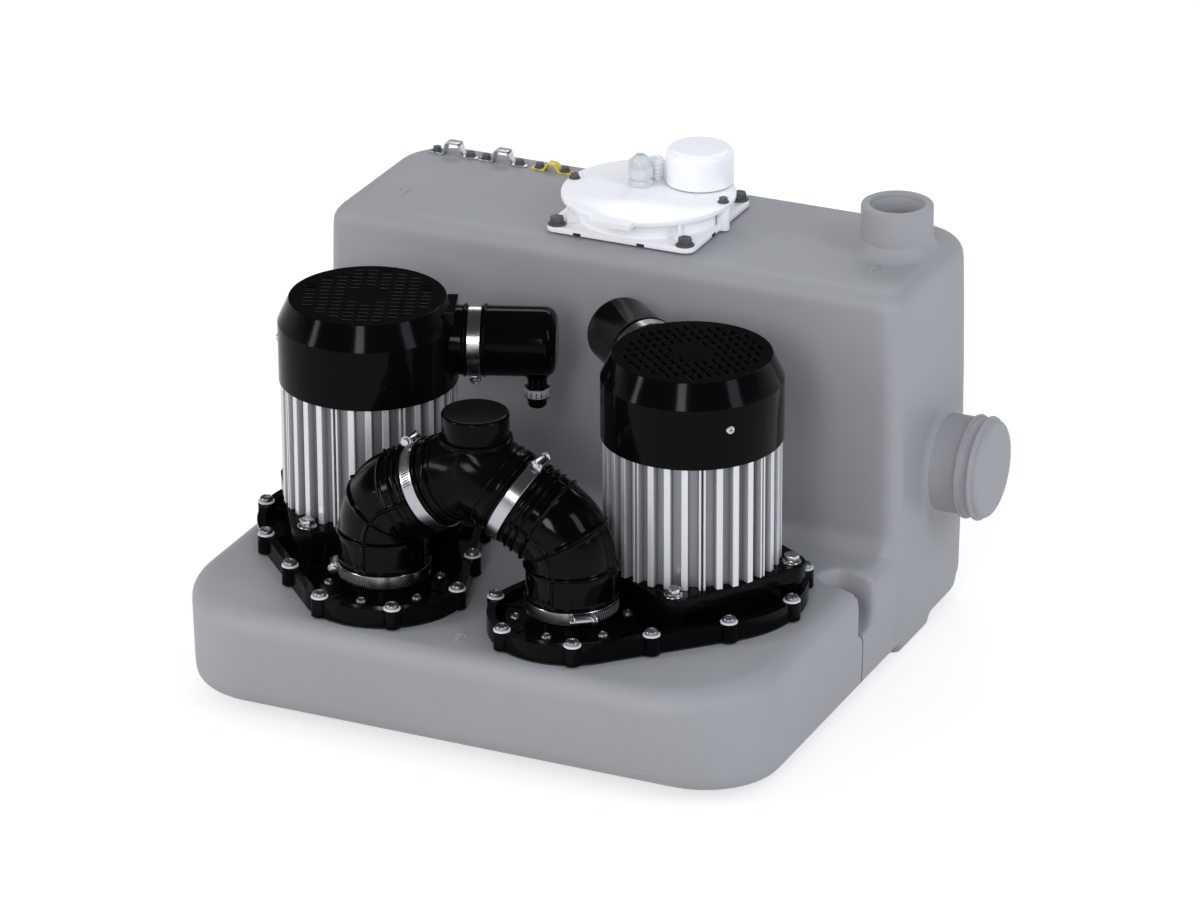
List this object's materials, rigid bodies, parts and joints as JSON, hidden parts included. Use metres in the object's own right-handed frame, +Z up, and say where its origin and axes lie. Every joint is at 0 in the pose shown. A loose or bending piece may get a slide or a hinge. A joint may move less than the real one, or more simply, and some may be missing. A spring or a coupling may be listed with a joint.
{
  "type": "grey water lifting station",
  "caption": "Low moulded tank with a tall rear part, finned motor pumps on its front tray, rubber elbows joined to one upright outlet, and a round inspection cover on top.",
  "frame": {"origin": "middle of the tank's base, on the floor it stands on", "axes": "+X to the right, towards the side inlet; +Y to the back, towards the tall part of the tank; +Z up"},
  "size_m": [0.639, 0.564, 0.4332],
  "materials": {
    "tank_plastic": "satin moulded grain",
    "white_plastic": "glossy",
    "dark_fastener": "dark coated steel",
    "soft_seal": "matt",
    "dark_plastic": "satin",
    "grey_plastic": "satin",
    "clip_steel": "plain sheet",
    "yellow_plastic": "glossy",
    "black_plastic": "glossy",
    "bright_steel": "bright",
    "end_aluminium": "machined",
    "can_aluminium": "drawn can",
    "band_steel": "rolled strip",
    "shaft_steel": "ground",
    "fin_aluminium": "bright extruded",
    "copper_winding": "varnished copper wire",
    "core_iron": "laminated",
    "boot_rubber": "smooth, slightly glossy"
  },
  "bodies": {
    "station": {"tank": "tank_plastic", "top_marks": "tank_plastic", "cover_gasket": "soft_seal", "cover_base": "white_plastic", "cover_bolts": "dark_fastener", "cover_lid": "white_plastic", "lid_screws": "dark_fastener", "lid_gland": "white_plastic", "vent_cap": "white_plastic", "vent_tube": "white_plastic", "level_switch": "dark_plastic", "dip_tube": "grey_plastic", "pipe_clips": "clip_steel", "cable_clip": "yellow_plastic", "clip_screws": "dark_fastener", "outlet_manifold": "black_plastic", "cap_seal": "soft_seal", "flange_gaskets": "soft_seal", "flange_bolts": "bright_steel", "plate_bolts": "bright_steel", "port_screws": "bright_steel", "fan_cover_screws": "bright_steel", "end_shields": "end_aluminium", "capacitors": "can_aluminium", "pot_bands": "band_steel", "boot_bands": "band_steel", "left_flange": "black_plastic", "left_casing": "dark_plastic", "left_seal": "soft_seal", "left_bearings": "shaft_steel", "left_motor_plate": "black_plastic", "left_housing": "fin_aluminium", "left_stator": "copper_winding", "left_fan_cover": "black_plastic", "left_pot": "black_plastic", "left_pot_gland": "black_plastic", "left_boot": "boot_rubber", "right_flange": "black_plastic", "right_casing": "dark_plastic", "right_seal": "soft_seal", "right_bearings": "shaft_steel", "right_motor_plate": "black_plastic", "right_housing": "fin_aluminium", "right_stator": "copper_winding", "right_fan_cover": "black_plastic", "right_pot": "black_plastic", "right_pot_gland": "black_plastic", "right_boot": "boot_rubber"},
    "left_spinner": {"left_shaft": "shaft_steel", "left_rotor": "core_iron", "left_impeller": "dark_plastic", "left_fan": "dark_plastic"},
    "right_spinner": {"right_shaft": "shaft_steel", "right_rotor": "core_iron", "right_impeller": "dark_plastic", "right_fan": "dark_plastic"},
    "left_valve": {"left_flap": "soft_seal"},
    "right_valve": {"right_flap": "soft_seal"},
    "outlet_closure": {"outlet_cap": "black_plastic"}
  },
  "joints": [
    {"name": "left_motor_spin", "type": "hinge", "parent": "station", "child": "left_spinner", "pos_m": [-0.17185, -0.0762, 0.1935], "axis": [0, 0, 1], "continuous": true},
    {"name": "right_motor_spin", "type": "hinge", "parent": "station", "child": "right_spinner", "pos_m": [0.15515, -0.0762, 0.1935], "axis": [0, 0, 1], "continuous": true},
    {"name": "left_flap_hinge", "type": "hinge", "parent": "station", "child": "left_valve", "pos_m": [-0.11762, -0.16435, 0.1315], "axis": [-0.8517, -0.524, 0], "range_deg": [0, 45]},
    {"name": "right_flap_hinge", "type": "hinge", "parent": "station", "child": "right_valve", "pos_m": [0.10092, -0.16435, 0.1315], "axis": [-0.8517, 0.524, 0], "range_deg": [0, 45]},
    {"name": "outlet_cap_lift", "type": "slide", "parent": "station", "child": "outlet_closure", "axis": [0, 0, 1], "range_m": [0, 0.06]}
  ]
}
